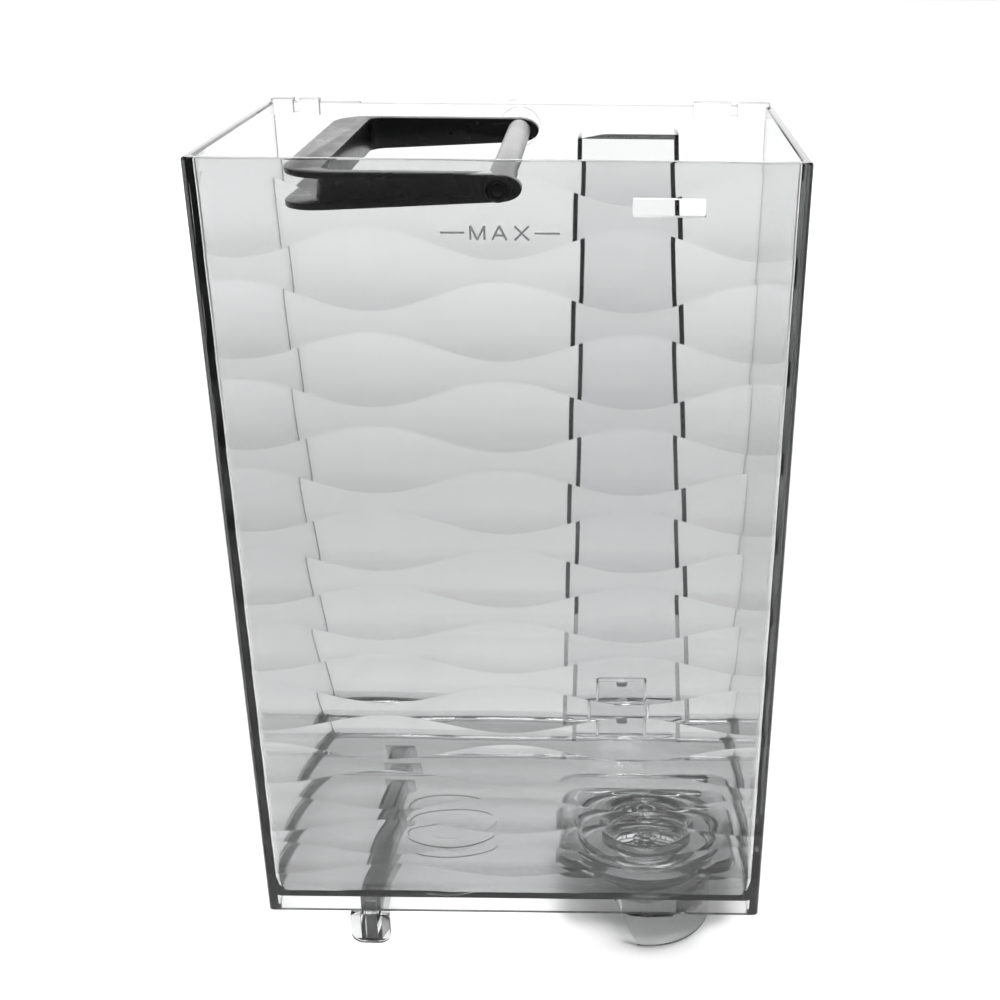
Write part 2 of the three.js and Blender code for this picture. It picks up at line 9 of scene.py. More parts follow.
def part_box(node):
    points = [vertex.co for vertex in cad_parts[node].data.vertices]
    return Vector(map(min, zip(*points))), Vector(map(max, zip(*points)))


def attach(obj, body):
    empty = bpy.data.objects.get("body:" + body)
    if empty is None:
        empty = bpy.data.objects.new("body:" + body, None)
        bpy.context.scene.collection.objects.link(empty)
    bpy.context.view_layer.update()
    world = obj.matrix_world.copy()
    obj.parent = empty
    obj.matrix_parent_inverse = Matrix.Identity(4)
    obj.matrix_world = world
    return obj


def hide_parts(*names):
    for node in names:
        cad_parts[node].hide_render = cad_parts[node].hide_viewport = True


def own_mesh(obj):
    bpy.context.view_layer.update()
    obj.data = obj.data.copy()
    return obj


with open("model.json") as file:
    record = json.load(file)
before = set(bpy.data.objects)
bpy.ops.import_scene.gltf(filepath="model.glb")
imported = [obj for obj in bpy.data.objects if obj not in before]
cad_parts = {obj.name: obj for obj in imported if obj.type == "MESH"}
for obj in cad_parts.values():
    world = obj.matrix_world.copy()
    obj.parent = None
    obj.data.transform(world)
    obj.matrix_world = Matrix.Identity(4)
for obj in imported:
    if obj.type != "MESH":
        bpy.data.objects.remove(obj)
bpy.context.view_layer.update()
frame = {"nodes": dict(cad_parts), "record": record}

# The clear water tank of a compact dehumidifier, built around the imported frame. Shapes are worked out in
# millimetres and scaled to metres when they are done.
MM = 0.001
REACH = 13.0  # how far a cutter reaches past the face it goes through

# ---- dimensions, from the frame ------------------------------------------------------------------------
TANK_LOW, TANK_HIGH = (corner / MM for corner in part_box("tank_body"))
LUG_RISE = 1.0
RIM_Z = TANK_HIGH.z - LUG_RISE
SKIRT_Z = TANK_LOW.z
HALF_X = TANK_HIGH.x
HALF_Y = TANK_HIGH.y
DRAFT = 1.0
WALL = 2.4
FLOOR_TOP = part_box("housing_gasket")[0].z / MM - 0.2
FLOOR_THICKNESS = 2.2
FILLET = 7.0
SIDE_FILLET_SHARE = 0.3
CORNER_R = 1.6
INNER_CORNER_R = 2.0
AXLE_LOW, AXLE_HIGH = (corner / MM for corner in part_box("handle_axle"))
PIVOT_Z = (AXLE_LOW.z + AXLE_HIGH.z) / 2
PIVOT_X = (AXLE_LOW.x + AXLE_HIGH.x) / 2
VALVE_X = sum(corner.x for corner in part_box("valve_nut")) / 2 / MM
VALVE_Y = sum(corner.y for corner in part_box("valve_nut")) / 2 / MM

# ---- meshes --------------------------------------------------------------------------------------------


def new_object(name, verts, faces):
    mesh = bpy.data.meshes.new(name)
    mesh.from_pydata(verts, [], faces)
    bm = bmesh.new()
    bm.from_mesh(mesh)
    bmesh.ops.recalc_face_normals(bm, faces=bm.faces)
    bm.to_mesh(mesh)
    bm.free()
    obj = bpy.data.objects.new(name, mesh)
    bpy.context.scene.collection.objects.link(obj)
    return obj


def apply_modifiers(obj):
    bpy.context.view_layer.update()
    depsgraph = bpy.context.evaluated_depsgraph_get()
    mesh = bpy.data.meshes.new_from_object(obj.evaluated_get(depsgraph))
    old = obj.data
    obj.modifiers.clear()
    obj.data = mesh
    bpy.data.meshes.remove(old)


def combine(target, tool, operation):
    modifier = target.modifiers.new("combine", "BOOLEAN")
    modifier.operation = operation
    modifier.solver = "EXACT"
    modifier.material_mode = "TRANSFER"
    modifier.object = tool
    apply_modifiers(target)
    bpy.data.objects.remove(tool)


def cut(target, *tools):
    for tool in tools:
        combine(target, tool, "DIFFERENCE")


def join(target, *tools):
    for tool in tools:
        combine(target, tool, "UNION")


def rounded_loop(x0, x1, y0, y1, r, steps=8, hold=0.6):
    """An anticlockwise rounded rectangle, with a point just past each arc so that the flats stay flat."""
    corners = ((x1 - r, y1 - r), (x0 + r, y1 - r), (x0 + r, y0 + r), (x1 - r, y0 + r))
    points = []
    for quarter, (cx, cy) in enumerate(corners):
        arc = [(quarter + i / steps) * math.pi / 2 for i in range(steps + 1)]
        ring = [(cx + r * math.cos(a), cy + r * math.sin(a)) for a in arc]
        before = (ring[0][0] + hold * math.sin(arc[0]), ring[0][1] - hold * math.cos(arc[0]))
        after = (ring[-1][0] - hold * math.sin(arc[-1]), ring[-1][1] + hold * math.cos(arc[-1]))
        points += [before, *ring, after]
    return points


def loft(name, levels):
    """A closed skin over a stack of loops with equal point counts: [(z, loop), ...]."""
    count = len(levels[0][1])
    verts = [(x, y, z) for z, loop in levels for x, y in loop]
    faces = []
    for level in range(len(levels) - 1):
        for i in range(count):
            a = level * count + i
            b = level * count + (i + 1) % count
            faces.append((a, b, b + count, a + count))
    faces.append(tuple(reversed(range(count))))
    faces.append(tuple(range(len(verts) - count, len(verts))))
    return new_object(name, verts, faces)


def block(x0, x1, y0, y1, z0, z1, bevel=0.0):
    verts = [(x, y, z) for z in (z0, z1) for x, y in ((x0, y0), (x1, y0), (x1, y1), (x0, y1))]
    faces = [(3, 2, 1, 0), (4, 5, 6, 7), (0, 1, 5, 4), (1, 2, 6, 5), (2, 3, 7, 6), (3, 0, 4, 7)]
    obj = new_object("block", verts, faces)
    if bevel:
        modifier = obj.modifiers.new("bevel", "BEVEL")
        modifier.width = bevel
        modifier.segments = 3
        apply_modifiers(obj)
    return obj


def turned(profile, axis_x, axis_other, axis="z", segments=64):
    """A closed (radius, height) profile turned about an upright axis, or about one along Y."""
    verts = []
    for i in range(segments):
        a = 2 * math.pi * i / segments
        for r, h in profile:
            u = axis_x + r * math.cos(a)
            v = axis_other + r * math.sin(a)
            verts.append((u, v, h) if axis == "z" else (u, h, v))
    count = len(profile)
    faces = []
    for i in range(segments):
        j = (i + 1) % segments
        for k in range(count):
            m = (k + 1) % count
            faces.append((i * count + k, j * count + k, j * count + m, i * count + m))
    return new_object("turned", verts, faces)


def rod(r, low, high, axis_x, axis_other, axis="z", segments=64):
    verts = []
    for h in (low, high):
        for i in range(segments):
            a = 2 * math.pi * i / segments
            u = axis_x + r * math.cos(a)
            v = axis_other + r * math.sin(a)
            verts.append((u, v, h) if axis == "z" else (u, h, v))
    faces = [(i, (i + 1) % segments, segments + (i + 1) % segments, segments + i) for i in range(segments)]
    faces.append(tuple(reversed(range(segments))))
    faces.append(tuple(range(segments, 2 * segments)))
    return new_object("rod", verts, faces)


def in_metres(obj):
    obj.data.transform(Matrix.Scale(MM, 4))
    return obj


def prism_y(outline, y0, y1):
    """A front-view outline of (x, z) points, reaching from y0 back to y1."""
    count = len(outline)
    verts = [(x, y, z) for y in (y0, y1) for x, z in outline]
    faces = [(i, (i + 1) % count, count + (i + 1) % count, count + i) for i in range(count)]
    faces.append(tuple(reversed(range(count))))
    faces.append(tuple(range(count, 2 * count)))
    return new_object("prism", verts, faces)


# ---- tank ----------------------------------------------------------------------------------------------
WAVE_FIRST, WAVE_LAST = -1, 20
WAVE_TOP, WAVE_PITCH, WAVE_SQUEEZE = 6.5, 13.7, 0.16
WAVE_AMPLITUDE, WAVE_FADE = 4.0, 0.1
WAVE_PERIOD, WAVE_STRETCH = 63.5, 0.04
FLUTE_R = 106.0
FLUTE_TIGHTENING = 2.6
FLUTE_COLUMNS = 150
FLUTE_ROWS = 8
FLUTE_HALF_WIDTH = 73.2
RIDGE_INSET = 0.05


def lean(z):
    return DRAFT * (RIM_Z - z) / (RIM_Z - SKIRT_Z)


def walled(z, inset, r, fillet=0.0):
    x = HALF_X - lean(z) - inset - SIDE_FILLET_SHARE * fillet
    y = HALF_Y - lean(z) - inset
    return z, rounded_loop(-x, x, -y, y - fillet, r)


def wave_level(k):
    return WAVE_TOP + WAVE_PITCH * k - WAVE_SQUEEZE * k * k


def flute_radius(k):
    """The flutes get narrower down the face and are scooped a little deeper, so their radius shrinks."""
    return FLUTE_R * ((wave_level(k + 1) - wave_level(k)) / WAVE_PITCH) ** FLUTE_TIGHTENING


def wave_line(k, x):
    """Height of ridge line k at x. Neighbouring lines swing in opposite phase."""
    level = wave_level(k)
    phase = 1 if k % 2 == 0 else -1
    turns = x / (WAVE_PERIOD + WAVE_STRETCH * level)
    swing = (WAVE_AMPLITUDE - WAVE_FADE * k) * math.cos(2 * math.pi * turns)
    return RIM_Z - level + phase * swing


def flute_cutter():
    """Everything in front of the fluted face: one scooped flute between each pair of ridge lines."""
    rows = [(k, i / FLUTE_ROWS) for k in range(WAVE_FIRST, WAVE_LAST) for i in range(FLUTE_ROWS)]
    rows.append((WAVE_LAST, 0.0))
    xs = [FLUTE_HALF_WIDTH * (2 * i / FLUTE_COLUMNS - 1) for i in range(FLUTE_COLUMNS + 1)]
    stride = len(xs)
    verts = []
    for k, t in rows:
        for x in xs:
            upper = wave_line(k, x)
            width = upper - wave_line(k + 1, x) if t else 0.0
            z = upper - t * width
            scoop = t * (1 - t) * width * width / (2 * flute_radius(k))
            verts.append((x, RIDGE_INSET + scoop - (HALF_Y - lean(z)), z))
    far = -HALF_Y - REACH
    last = (len(rows) - 1) * stride
    far_top = len(verts)
    verts += [(x, far, wave_line(WAVE_FIRST, x)) for x in xs]
    far_low = len(verts)
    verts += [(x, far, wave_line(WAVE_LAST, x)) for x in xs]
    faces = []
    for r in range(len(rows) - 1):
        for i in range(FLUTE_COLUMNS):
            a = r * stride + i
            faces.append((a, a + 1, a + 1 + stride))
            faces.append((a, a + 1 + stride, a + stride))
    for i in range(FLUTE_COLUMNS):
        faces.append((i, far_top + i, far_top + i + 1, i + 1))
        faces.append((last + i, last + i + 1, far_low + i + 1, far_low + i))
    for end in (0, FLUTE_COLUMNS):
        column = [r * stride + end for r in range(len(rows))]
        faces.append(tuple(column + [far_low + end, far_top + end]))
    front = [far_top + i for i in range(stride)] + [far_low + i for i in reversed(range(stride))]
    faces.append(tuple(front))
    return new_object("flutes", verts, faces)


MARK_TOP, MARK_LOW = 15.6, 19.0  # below the rim
STROKE_WIDTH = 0.5
STROKE_FRONT, STROKE_BACK = 0.02, 1.4  # behind the foremost plane of the tank


def stroke(x0, z0, x1, z1):
    length = math.hypot(x1 - x0, z1 - z0)
    nx = -(z1 - z0) / length * STROKE_WIDTH / 2
    nz = (x1 - x0) / length * STROKE_WIDTH / 2
    outline = [(x0 + nx, z0 + nz), (x0 - nx, z0 - nz), (x1 - nx, z1 - nz), (x1 + nx, z1 + nz)]
    return prism_y(outline, -HALF_Y + STROKE_FRONT, -HALF_Y + STROKE_BACK)


def level_mark():
    """The strokes of the raised MAX mark and the level lines on both sides of it."""
    low = RIM_Z - MARK_LOW
    high = RIM_Z - MARK_TOP
    middle = (low + high) / 2
    return [
        stroke(*ends)
        for ends in (
            (-6.7, low, -6.7, high),
            (-6.7, high, -5, low),
            (-5, low, -3.3, high),
            (-3.3, high, -3.3, low),
            (-1.4, low, 0.3, high),
            (0.3, high, 2, low),
            (-0.8, low + 1.1, 1.4, low + 1.1),
            (4, low, 7.4, high),
            (4, high, 7.4, low),
            (-14, middle, -8.2, middle),
            (8.8, middle, 14.9, middle),
        )
    ]


# Edges as (height above the skirt's edge or below the rim, inset) steps.
SKIRT_EDGE = ((0.0, 0.3), (0.3, 0.0), (0.9, 0.0))
RIM_EDGE = ((1.2, 0.0), (0.6, 0.0), (0.18, 0.16), (0.0, 0.55))
INNER_RIM_EDGE = ((1.2, 0.0), (0.6, 0.0), (0.18, 0.16), (-0.02, 0.6), (-6.0, 0.6))
FILLET_STEPS = 10
NOTCH_LEFT, NOTCH_RIGHT, NOTCH_DEPTH = -47.4, 51.2, 0.4  # the lowered middle of the rear rim
LUGS = ((-73.4, -59.2, -66.0), (51.2, 74.0, 63.4))  # left, right and slot of each catch on the rear rim
REAR_CLEARANCE = 0.05  # keeps the catches and the stop just inside the rear face
LUG_DEPTH, LUG_HEIGHT = 4.4, 4.0
LUG_SLOT_HALF_WIDTH, LUG_SLOT_DEPTH = 0.9, 3.0
STOP_LEFT, STOP_RIGHT, STOP_RISE = -3.6, 1.4, 0.8
CATCH_LEFT, CATCH_RIGHT, CATCH_TOP, CATCH_LOW = 32.3, 50.0, 8.9, 13.2  # the slot in the front wall
BOSS_HOLE_R, BOSS_R, BOSS_HEIGHT = 5.2, 6.3, 0.7
GATE_X, GATE_Y, GATE_R, GATE_LINE, GATE_EYE_R = -22.0, -13.0, 14.5, 1.5, 6.0
PIVOT_HOLE_R = 2.8
VALVE_HOLE_R = 13.3


def rim_lug(left, right, slot):
    low = RIM_Z - LUG_HEIGHT
    lug = block(left, right, HALF_Y - LUG_DEPTH, HALF_Y - REAR_CLEARANCE, low, RIM_Z + LUG_RISE, bevel=0.3)
    slot_left = slot - LUG_SLOT_HALF_WIDTH
    slot_right = slot + LUG_SLOT_HALF_WIDTH
    slot_low = RIM_Z - LUG_SLOT_DEPTH
    cut(lug, block(slot_left, slot_right, HALF_Y - REACH, HALF_Y + REACH, slot_low, RIM_Z + LUG_RISE + 1))
    return lug


def outer_skin():
    skirt = [walled(SKIRT_Z + up, inset, CORNER_R) for up, inset in SKIRT_EDGE]
    rim = [walled(RIM_Z - down, inset, CORNER_R) for down, inset in RIM_EDGE]
    return loft("tank_moulding", skirt + rim)


def cavity():
    """The water space, with a quarter-round fillet at the rear of the floor and slimmer ones at its sides."""
    levels = []
    for i in range(FILLET_STEPS + 1):
        h = FILLET * (1 - math.cos(i / FILLET_STEPS * math.pi / 2))
        fillet = FILLET - math.sqrt(FILLET**2 - (FILLET - h) ** 2)
        levels.append(walled(FLOOR_TOP + h, WALL, INNER_CORNER_R, fillet))
    levels.append(walled(FLOOR_TOP + FILLET + 1, WALL, INNER_CORNER_R))
    levels += [walled(RIM_Z - down, WALL - spread, INNER_CORNER_R) for down, spread in INNER_RIM_EDGE]
    return loft("cavity", levels)


def pivot_boss():
    """The low ring round the rear pivot, cut off level with the lowered rim."""
    wall_y = HALF_Y - WALL
    front_y = wall_y - BOSS_HEIGHT
    break_y = front_y + 0.2
    profile = [(BOSS_HOLE_R, wall_y + 0.05), (BOSS_HOLE_R, break_y), (BOSS_HOLE_R + 0.2, front_y)]
    profile += [(BOSS_R - 0.2, front_y), (BOSS_R, break_y), (BOSS_R, wall_y + 0.4)]
    boss = turned(profile, PIVOT_X, PIVOT_Z, axis="y")
    cut(boss, block(-10, 10, HALF_Y - REACH, HALF_Y + REACH, RIM_Z - NOTCH_DEPTH, RIM_Z + 5))
    return boss


def gate_disc():
    """The round mark on the floor where the plastic was let in: a raised line and a raised eye."""
    inner = GATE_R - GATE_LINE
    low, shoulder, top = FLOOR_TOP - 0.5, FLOOR_TOP + 0.3, FLOOR_TOP + 0.5
    profile = [(inner, low), (inner, shoulder), (inner + 0.3, top)]
    profile += [(GATE_R - 0.3, top), (GATE_R, shoulder), (GATE_R, low)]
    return turned(profile, GATE_X, GATE_Y), rod(GATE_EYE_R, low, shoulder, GATE_X, GATE_Y)


def tank_moulding():
    marks = level_mark()
    for mark in marks:
        give_material(mark, "level_mark")
    body = outer_skin()
    # The shell carries painted shade: darker on faces turned upwards, the lower part of every flute and the
    # floor.
    give_material(body, "fluted_shell_painted_shade")
    under_levels = [walled(z, WALL, INNER_CORNER_R) for z in (SKIRT_Z - 1, FLOOR_TOP - FLOOR_THICKNESS)]
    cut(body, cavity(), loft("under", under_levels), flute_cutter())
    cut(body, block(NOTCH_LEFT, NOTCH_RIGHT, HALF_Y - 7, HALF_Y + REACH, RIM_Z - NOTCH_DEPTH, RIM_Z + 5))
    join(body, pivot_boss(), *gate_disc())
    catch_z = (RIM_Z - CATCH_LOW, RIM_Z - CATCH_TOP)
    cut(
        body,
        block(CATCH_LEFT, CATCH_RIGHT, -HALF_Y - REACH, -HALF_Y + 7, *catch_z, bevel=0.4),
        rod(PIVOT_HOLE_R, -HALF_Y - REACH, HALF_Y + REACH, PIVOT_X, PIVOT_Z, axis="y"),
        rod(VALVE_HOLE_R, FLOOR_TOP - 8, FLOOR_TOP + 7, VALVE_X, VALVE_Y),
    )
    stop_front = HALF_Y - WALL + 0.1
    stop_rear = HALF_Y - REAR_CLEARANCE
    stop = block(STOP_LEFT, STOP_RIGHT, stop_front, stop_rear, RIM_Z - 2, RIM_Z + STOP_RISE, bevel=0.25)
    join(body, *marks, stop, *(rim_lug(*lug) for lug in LUGS))
    return body


def on_ridge(co):
    """Which ridge line of the fluted face a point lies on, or None."""
    if co.y > -HALF_Y + 2 or abs(co.x) > FLUTE_HALF_WIDTH + 0.01:
        return None
    for k in range(WAVE_FIRST, WAVE_LAST + 1):
        if abs(co.z - wave_line(k, co.x)) < 0.02:
            return k
    return None


def set_shading(obj, angle=14.0, ridges=False):
    """Smooth shading with sharp edges over an angle, and along the ridge lines of the flutes."""
    bm = bmesh.new()
    bm.from_mesh(obj.data)
    ridge = {v.index: on_ridge(v.co) for v in bm.verts} if ridges else {}
    limit = math.radians(angle)
    for face in bm.faces:
        face.smooth = True
    for edge in bm.edges:
        sharp = len(edge.link_faces) != 2 or edge.calc_face_angle(0) > limit
        if ridges and not sharp:
            ends = [ridge[v.index] for v in edge.verts]
            sharp = ends[0] is not None and ends[0] == ends[1]
        edge.smooth = not sharp
    bm.to_mesh(obj.data)
    bm.free()


# ---- materials -----------------------------------------------------------------------------------------


class Nodes:
    """A short way to wire up a material."""

    def __init__(self, name):
        self.material = bpy.data.materials.new(name)
        self.material.use_nodes = True
        self.tree = self.material.node_tree
        self.shader = self.tree.nodes["Principled BSDF"]
        self.output = self.tree.nodes["Material Output"]
        self.coords = self.add("ShaderNodeTexCoord").outputs["Object"]

    def add(self, kind, **inputs):
        node = self.tree.nodes.new(kind)
        for key, value in inputs.items():
            node.inputs[key.replace("_", " ")].default_value = value
        return node

    def link(self, source, target):
        self.tree.links.new(source, target)

    def noise(self, scale, detail=2.0):
        node = self.add("ShaderNodeTexNoise", Scale=scale, Detail=detail)
        self.link(self.coords, node.inputs["Vector"])
        return node.outputs["Fac"]

    def remap(self, value, low, high, from_low=0.3, from_high=0.7):
        node = self.add("ShaderNodeMapRange")
        node.inputs["From Min"].default_value = from_low
        node.inputs["From Max"].default_value = from_high
        node.inputs["To Min"].default_value = low
        node.inputs["To Max"].default_value = high
        self.link(value, node.inputs["Value"])
        return node.outputs["Result"]

    def tint(self, value, dark, light, socket):
        mix = self.add("ShaderNodeMix")
        mix.data_type = "RGBA"
        self.link(value, mix.inputs["Factor"])
        colour_inputs = [i for i in mix.inputs if i.type == "RGBA"]
        for colour_input, colour in zip(colour_inputs, (dark, light)):
            colour_input.default_value = (*colour, 1)
        self.link(next(o for o in mix.outputs if o.type == "RGBA"), socket)

    def bump(self, value, strength, distance):
        node = self.add("ShaderNodeBump", Strength=strength, Distance=distance)
        self.link(value, node.inputs["Height"])
        self.link(node.outputs["Normal"], self.shader.inputs["Normal"])


HAZE_SCALE, FLOW_MARK_SCALE, RIPPLE_SCALE = 35.0, 12.0, 60.0
FLOW_MARK_SHADE = 0.985
LOST_COLOUR = (0.02, 0.03, 0.03, 1)


def clear_plastic(name, density, roughness=(0.01, 0.035), ior=1.56, colour=(0.985, 0.988, 0.99)):
    """Polished see-through plastic: light is lost along its path, so edges seen end on go dark."""
    n = Nodes(name)
    shader = n.shader
    shader.inputs["Transmission Weight"].default_value = 1.0
    shader.inputs["IOR"].default_value = ior
    haze = n.remap(n.noise(HAZE_SCALE, 3.0), *roughness)
    n.link(haze, shader.inputs["Roughness"])
    darker = tuple(FLOW_MARK_SHADE * c for c in colour)
    n.tint(n.remap(n.noise(FLOW_MARK_SCALE), 0, 1), darker, colour, shader.inputs["Base Color"])
    n.bump(n.noise(RIPPLE_SCALE), 0.02, 0.0001)
    volume = n.add("ShaderNodeVolumeAbsorption")
    volume.inputs["Color"].default_value = LOST_COLOUR
    volume.inputs["Density"].default_value = density
    n.link(volume.outputs["Volume"], n.output.inputs["Volume"])
    return n.material


def fluted_plastic_painted_shade(name, density, stops):
    """Clear plastic with painted shade: it is tinted darker on faces turned upwards, the lower part of every
    flute and the floor.
    """
    material = clear_plastic(name, density)
    tree = material.node_tree
    split = tree.nodes.new("ShaderNodeSeparateXYZ")
    tree.links.new(tree.nodes.new("ShaderNodeNewGeometry").outputs["Normal"], split.inputs[0])
    ramp = tree.nodes.new("ShaderNodeValToRGB")
    while len(ramp.color_ramp.elements) < len(stops):
        ramp.color_ramp.elements.new(0.5)
    for element, (tilt, grey) in zip(ramp.color_ramp.elements, stops):
        element.position = tilt
        element.color = (grey, grey + 0.003, grey + 0.005, 1)
    tree.links.new(split.outputs["Z"], ramp.inputs["Fac"])
    tree.links.new(ramp.outputs["Color"], tree.nodes["Principled BSDF"].inputs["Base Color"])
    return material


def opaque_plastic(name, dark, light, roughness, grain=900.0, relief=0.15, metallic=0.0):
    """Moulded plastic, rubber or metal with a fine spark-eroded grain and faint flow marks."""
    n = Nodes(name)
    shader = n.shader
    shader.inputs["Metallic"].default_value = metallic
    n.tint(n.remap(n.noise(40.0, 4.0), 0, 1), dark, light, shader.inputs["Base Color"])
    n.link(n.remap(n.noise(150.0, 3.0), *roughness), shader.inputs["Roughness"])
    n.bump(n.noise(grain, 2.0), relief, 0.0002)
    return n.material


# Painted shade for the fluted shell: the grey of the base colour by how far a face turns upwards.
FLUTE_PAINTED_SHADE = [(0.02, 0.80), (0.16, 0.56), (0.9, 0.56), (1.0, 0.46)]  # (upward tilt, grey)
SHELL_DENSITY = 22.0
CHUTE_EDGE_PAINTED_SHADE_COLOUR = (0.9, 0.9, 0.9)
MATERIALS = {
    "fluted_shell_painted_shade": fluted_plastic_painted_shade("clear_fluted_plastic_painted_shade", SHELL_DENSITY, FLUTE_PAINTED_SHADE),
    "clear_shell": clear_plastic("clear_tank_plastic", SHELL_DENSITY, colour=(0.80, 0.803, 0.805)),
    "chute_face": clear_plastic("clear_chute_plastic", 5.0, ior=1.25, colour=(0.97, 0.973, 0.975)),
    # Painted shade: the chute's ribs and top edge are copies of one clear plastic with more absorption and a
    # greyer colour. The top edge is darkest, the upper ribs dark and the lower ribs lighter.
    "chute_top_edge_painted_shade": clear_plastic("chute_top_plastic_painted_shade", 1500.0, colour=CHUTE_EDGE_PAINTED_SHADE_COLOUR),
    "chute_edges_painted_shade": clear_plastic("chute_edge_plastic_painted_shade", 330.0, colour=CHUTE_EDGE_PAINTED_SHADE_COLOUR),
    "chute_low_edges_painted_shade": clear_plastic("chute_low_edge_plastic_painted_shade", 60.0, ior=1.3, colour=CHUTE_EDGE_PAINTED_SHADE_COLOUR),
    "float": clear_plastic("clear_float_plastic", 8.0, (0.05, 0.09), ior=1.25),
    "smoky_fittings": clear_plastic("smoky_fitting_plastic", 130.0, (0.03, 0.07)),
    "smoky_valve": clear_plastic("smoky_valve_plastic", 75.0, (0.03, 0.07)),
    "level_mark": opaque_plastic("frosted_mark", (0.62, 0.62, 0.625), (0.68, 0.68, 0.685), (0.5, 0.6)),
    "black_handle": opaque_plastic(
        "satin_black_plastic", (0.004, 0.004, 0.0045), (0.007, 0.007, 0.0075), (0.25, 0.33)
    ),
    "grey_axle": opaque_plastic(
        "satin_grey_plastic", (0.36, 0.36, 0.365), (0.41, 0.41, 0.415), (0.35, 0.45)
    ),
    "silicone": opaque_plastic(
        "translucent_silicone", (0.6, 0.61, 0.6), (0.68, 0.69, 0.68), (0.45, 0.6), grain=500.0
    ),
    "pad_rubber": opaque_plastic(
        "matte_rubber", (0.05, 0.05, 0.05), (0.08, 0.08, 0.08), (0.6, 0.8), grain=500.0, relief=0.3
    ),
    "spring_wire": opaque_plastic(
        "spring_wire", (0.6, 0.61, 0.62), (0.7, 0.71, 0.72), (0.2, 0.3), 400.0, relief=0.05, metallic=1.0
    ),
    "ferrite": opaque_plastic(
        "plated_ferrite", (0.5, 0.5, 0.505), (0.56, 0.56, 0.565), (0.4, 0.5), grain=700.0, relief=0.3
    ),
}


def give_material(obj, name):
    obj.data.materials.clear()
    obj.data.materials.append(MATERIALS[name])


# ---- pieces --------------------------------------------------------------------------------------------
NODE_SLOT = {row["node"]: row["material_slot"] for row in frame["record"]["subparts"]}
BODIES = frame["record"]["behaviour"]["bodies"]
NODE_BODY = {node: body for body, members in BODIES.items() for node in members}


def fine_copy(node, name):
    """A copy of a CAD node with its flats joined up."""
    obj = bpy.data.objects.new(name, frame["nodes"][node].data.copy())
    bpy.context.scene.collection.objects.link(obj)
    bm = bmesh.new()
    bm.from_mesh(obj.data)
    bmesh.ops.remove_doubles(bm, verts=bm.verts, dist=1e-6)
    bmesh.ops.dissolve_limit(bm, angle_limit=math.radians(0.6), verts=bm.verts, edges=bm.edges)
    bm.to_mesh(obj.data)
    bm.free()
    return obj


def finish_piece(obj, node, bevel, material, segments=2, angle=34.0):
    """Break the edges of a fine copy, shade it and let it stand in for its CAD node."""
    if bevel:
        modifier = obj.modifiers.new("bevel", "BEVEL")
        modifier.width = bevel * MM
        modifier.segments = segments
        modifier.limit_method = "ANGLE"
        modifier.angle_limit = math.radians(angle)
        modifier.use_clamp_overlap = True
        apply_modifiers(obj)
    set_shading(obj, angle=30.0)
    give_material(obj, material)
    place(obj, node)
    if node == "valve_spring":
        squeeze_spring(obj)


def place(obj, node):
    """Let a piece stand in for its CAD node. The clear pieces let the lamps shine through them."""
    obj.visible_shadow = NODE_SLOT[node] != "clear_shell"
    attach(obj, NODE_BODY[node])
    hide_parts(node)


def squeeze_spring(spring):
    """Give the valve spring a mesh of its own. It is not squeezed against its bridge here."""
    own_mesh(spring)


tank = tank_moulding()
set_shading(tank, ridges=True)
in_metres(tank)
place(tank, "tank_body")

EDGE_BREAK = {  # the bevel of each piece
    "handle_loop": 0.45,
    "handle_axle": 0.3,
    "front_pivot_pin": 0.15,
    "rear_pivot_pin": 0.15,
    "front_axle_bush": 0.12,
    "rear_axle_bush": 0.12,
    "float_shell": 0.2,
    "float_lid": 0.1,
    "float_magnet": 0.2,
    "valve_collar": 0.35,
    "valve_housing": 0.25,
    "housing_gasket": 0.2,
    "valve_nut": 0.25,
    "valve_poppet": 0.2,
    "valve_seal": 0.2,
    "valve_spring": 0.0,
    "spring_bridge": 0.15,
    "stem_cap": 0.2,
    "spout_shroud": 0.3,
    "keel_foot": 0.25,
    "keel_pad": 0.2,
}
LOOKS = {
    "float_shell": "float",
    "float_lid": "float",
    "valve_collar": "smoky_valve",
    "valve_housing": "smoky_valve",
    "valve_nut": "smoky_valve",
    "valve_poppet": "smoky_valve",
    "spring_bridge": "smoky_valve",
    "stem_cap": "smoky_valve",
}
for node_name, edge_break in EDGE_BREAK.items():
    look = LOOKS.get(node_name, NODE_SLOT[node_name])
    finish_piece(fine_copy(node_name, node_name + "_fine"), node_name, edge_break, look)

CHUTE_LOW, CHUTE_HIGH = (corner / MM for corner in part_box("float_chute"))
CHUTE_WALL = 1.3
# Painted shade: above this height the ribs get the darker copy of the chute plastic, below it the lighter
# one.
CHUTE_FADE_Z = 72.0  # the ribs are lighter below this
CHUTE_SEAM = 0.02  # half the gap between the pieces that the chute is split into
CHUTE_REACH = 30.0
CHUTE_TOP_LEFT = CHUTE_LOW.x + 3.4
CHUTE_TOP_RIGHT = CHUTE_HIGH.x - 8.9


def chute_core(inset):
    """Everything between the chute's two ribs and under its top edge."""
    outline = [
        (CHUTE_TOP_LEFT + inset, CHUTE_HIGH.z - inset),
        (CHUTE_LOW.x + inset, FLOOR_TOP - 0.5),
        (CHUTE_HIGH.x - inset, FLOOR_TOP - 0.5),
        (CHUTE_TOP_RIGHT - inset, CHUTE_HIGH.z - inset),
    ]
    return in_metres(prism_y(outline, HALF_Y - CHUTE_REACH, HALF_Y + REACH))


def chute_piece(name, slab_low, slab_high):
    """The part of the chute between two heights."""
    piece = fine_copy("float_chute", name)
    left, right = CHUTE_LOW.x - REACH, CHUTE_HIGH.x + REACH
    slab = block(left, right, HALF_Y - CHUTE_REACH, HALF_Y + REACH, slab_low, slab_high)
    combine(piece, in_metres(slab), "INTERSECT")
    return piece


